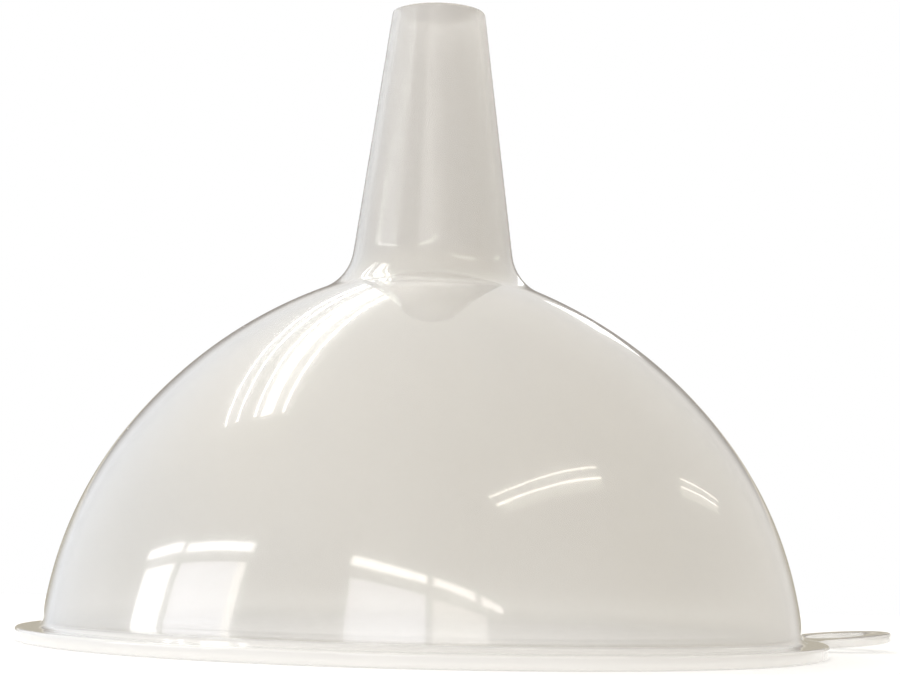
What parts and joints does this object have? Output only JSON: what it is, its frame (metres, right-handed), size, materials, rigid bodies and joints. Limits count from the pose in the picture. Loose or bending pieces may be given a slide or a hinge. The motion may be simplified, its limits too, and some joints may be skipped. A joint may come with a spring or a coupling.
{
  "type": "funnel",
  "caption": "Large translucent plastic funnel with a domed bowl, tapered stem, flanged rim and hanging loop, for filling vessels through a narrow neck.",
  "frame": {"origin": "centre of the rim face that the funnel stands on, mouth down", "axes": "+Z along the funnel's axis from the mouth to the stem's tip, +X towards the hanging loop"},
  "size_m": [0.2829, 0.25, 0.201],
  "materials": {
    "natural_polypropylene": "translucent natural polypropylene, moulded gloss"
  },
  "bodies": {
    "root": {"bowl": "natural_polypropylene", "stem": "natural_polypropylene", "rim_flange": "natural_polypropylene", "hanging_loop": "natural_polypropylene"}
  },
  "joints": []
}
